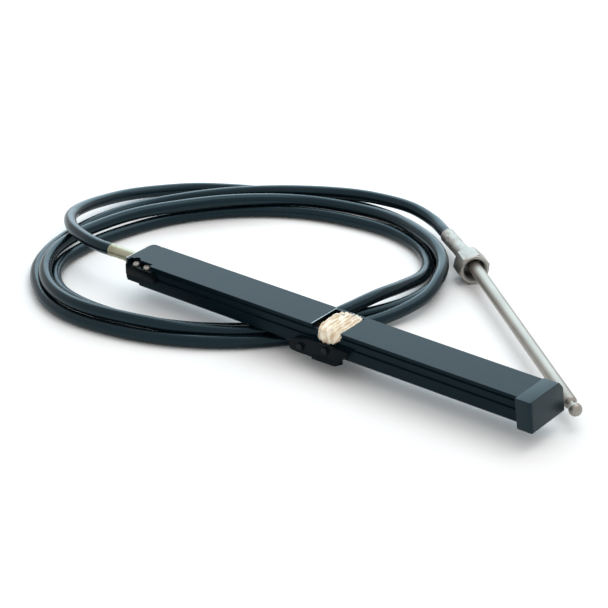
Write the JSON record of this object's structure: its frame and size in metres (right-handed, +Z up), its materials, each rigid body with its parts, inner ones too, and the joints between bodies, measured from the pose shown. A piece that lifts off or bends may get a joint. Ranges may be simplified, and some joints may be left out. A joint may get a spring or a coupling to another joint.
{
  "type": "boat steering cable",
  "caption": "Rack steering cable for an outboard boat: long rack housing with a helm window and end cap, a coiled push-pull cable, and a stainless ram with its coupling nut.",
  "frame": {"origin": "on the floor, under the middle of the box round every piece but the cable", "axes": "+X along the rack housing towards its capped end, +Y towards the coupling nut, +Z up"},
  "size_m": [0.808, 0.4941, 0.057],
  "materials": {
    "housing": "satin dark slate paint",
    "cap": "fine matt moulded plastic",
    "block": "glossy black moulding",
    "zinc": "bright zinc plate",
    "yellow_zinc": "pale yellow zinc plate",
    "rack": "machined steel under grease",
    "bracket": "gloss black coat",
    "cable": "satin dark blue-black jacket",
    "stainless": "drawn stainless steel"
  },
  "bodies": {
    "base": {"rack_housing": "housing", "end_cap": "cap", "end_block": "block", "end_plate": "zinc", "rack_ferrule": "yellow_zinc", "helm_bracket": "bracket", "cable_jacket": "cable", "output_ferrule": "zinc", "guide_tube": "stainless", "end_screw_1": "zinc", "bracket_bolt_near_1": "zinc", "end_screw_2": "zinc", "bracket_bolt_near_2": "zinc", "bracket_bolt_far_1": "zinc", "bracket_bolt_far_2": "zinc"},
    "rack": {"gear_rack": "rack"},
    "rod": {"ram": "stainless"},
    "nut": {"coupling_nut": "zinc"}
  },
  "joints": [
    {"name": "rack_slide", "type": "slide", "parent": "base", "child": "rack", "axis": [-1, 0, 0], "range_m": [0, 0.229]},
    {"name": "ram_slide", "type": "slide", "parent": "base", "child": "rod", "axis": [0.7789, -0.6271, 0], "range_m": [0, 0.229]},
    {"name": "nut_spin", "type": "hinge", "parent": "base", "child": "nut", "pos_m": [0.03618, 0.11784, 0.02008], "axis": [0.7789, -0.6271, 0], "continuous": true}
  ],
  "couplings": [
    {"joint": "ram_slide", "follows": "rack_slide", "ratio": 1}
  ]
}
